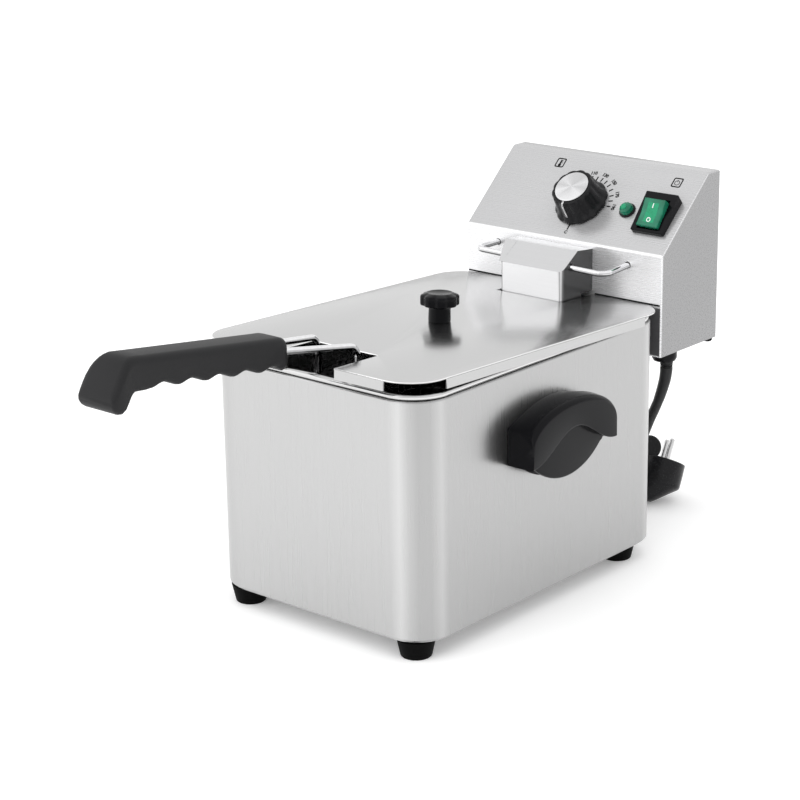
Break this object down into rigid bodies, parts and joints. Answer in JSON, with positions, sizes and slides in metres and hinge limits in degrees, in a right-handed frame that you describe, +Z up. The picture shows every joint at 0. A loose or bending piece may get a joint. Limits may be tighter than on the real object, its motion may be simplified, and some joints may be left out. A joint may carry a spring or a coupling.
{
  "type": "countertop deep fryer",
  "caption": "Countertop deep fryer: steel casing with side handles, notched lid, wire basket with finger grip, removable sloping control head, mains cord and plug.",
  "frame": {"origin": "middle of the fryer's footprint on the worktop, basket handle included and mains cord left out", "axes": "+Z up, +X to the right of someone facing the controls, -Y towards the basket handle and that person"},
  "size_m": [0.267, 0.6531, 0.3073],
  "materials": {
    "casing_steel": "satin, fine upright brushing",
    "head_steel": "satin",
    "lid_steel": "satin, fairly glossy",
    "bridge_steel": "glossy",
    "pan_steel": "polished",
    "bright_wire": "polished",
    "fixings": "plated",
    "element_metal": "dull plated",
    "black_plastic": "satin",
    "silver_disc": "brushed",
    "green_lens": "clear tinted",
    "foot_rubber": "matte",
    "cord_rubber": "satin",
    "plug_metal": "nickel plated",
    "bulb_brass": "satin",
    "insulator": "matte"
  },
  "bodies": {
    "casing": {"outer_casing": "casing_steel", "base_plate": "casing_steel", "foot_front_left": "foot_rubber", "foot_front_right": "foot_rubber", "foot_rear_left": "foot_rubber", "foot_rear_right": "foot_rubber", "foot_screw_front_left": "fixings", "foot_screw_front_right": "fixings", "foot_screw_rear_left": "fixings", "foot_screw_rear_right": "fixings", "side_handle_left": "black_plastic", "side_handle_right": "black_plastic", "handle_bolt_left_1": "fixings", "handle_bolt_left_2": "fixings", "handle_bolt_right_1": "fixings", "handle_bolt_right_2": "fixings", "head_bracket": "head_steel"},
    "pan": {"oil_pan": "pan_steel"},
    "head": {"head_housing": "head_steel", "head_back_cover": "head_steel", "head_bottom_plate": "head_steel", "head_bumper_left": "foot_rubber", "head_bumper_right": "foot_rubber", "head_hanger": "head_steel", "bridge_cover": "bridge_steel", "drain_rail": "bright_wire", "heating_element": "element_metal", "element_clamp": "bridge_steel", "thermostat_bulb": "bulb_brass", "thermostat_capillary": "bulb_brass", "thermostat_body": "insulator", "pilot_lamp_bezel": "black_plastic", "pilot_lamp_lens": "green_lens", "switch_housing": "black_plastic", "terminal_block": "insulator", "overheat_cutout": "insulator", "cable_gland": "black_plastic", "power_cord": "cord_rubber", "cord_coil": "cord_rubber", "cord_tail": "cord_rubber", "plug_body": "cord_rubber", "plug_pin_near": "plug_metal", "plug_pin_far": "plug_metal"},
    "dial": {"thermostat_shaft": "fixings", "thermostat_knob": "black_plastic", "thermostat_knob_cap": "silver_disc"},
    "rocker": {"switch_rocker": "green_lens"},
    "reset": {"reset_button": "black_plastic"},
    "lid": {"lid_panel": "lid_steel", "lid_knob": "black_plastic", "lid_knob_screw": "fixings"},
    "basket": {"basket_body": "bright_wire", "basket_rim": "bright_wire", "basket_bracket": "bright_wire", "basket_hook": "bright_wire", "handle_rod_left": "bright_wire", "handle_rod_right": "bright_wire", "handle_grip": "black_plastic"}
  },
  "joints": [
    {"name": "pan_lift", "type": "slide", "parent": "casing", "child": "pan", "axis": [0, 0, 1], "range_m": [0, 0.17]},
    {"name": "head_lift", "type": "slide", "parent": "pan", "child": "head", "axis": [0, 0, 1], "range_m": [0, 0.165]},
    {"name": "lid_swing", "type": "hinge", "parent": "head", "child": "lid", "pos_m": [0, 0.2368, 0.269], "axis": [-1, 0, 0], "range_deg": [0, 95]},
    {"name": "basket_lift", "type": "slide", "parent": "head", "child": "basket", "axis": [0, 0, 1], "range_m": [0, 0.1327]},
    {"name": "thermostat_turn", "type": "hinge", "parent": "head", "child": "dial", "pos_m": [0, 0.24612, 0.27496], "axis": [0, 0.6683, -0.7439], "range_deg": [0, 270]},
    {"name": "rocker_tip", "type": "hinge", "parent": "head", "child": "rocker", "pos_m": [0.0767, 0.24232, 0.27425], "axis": [-1, 0, 0], "range_deg": [0, 16]},
    {"name": "reset_press", "type": "slide", "parent": "head", "child": "reset", "axis": [0, -1, 0], "range_m": [0, 0.0025], "stiffness_N_per_m": 300}
  ],
  "couplings": [
    {"joint": "basket_lift", "follows": "lid_swing", "m_per_rad": 0.08}
  ]
}
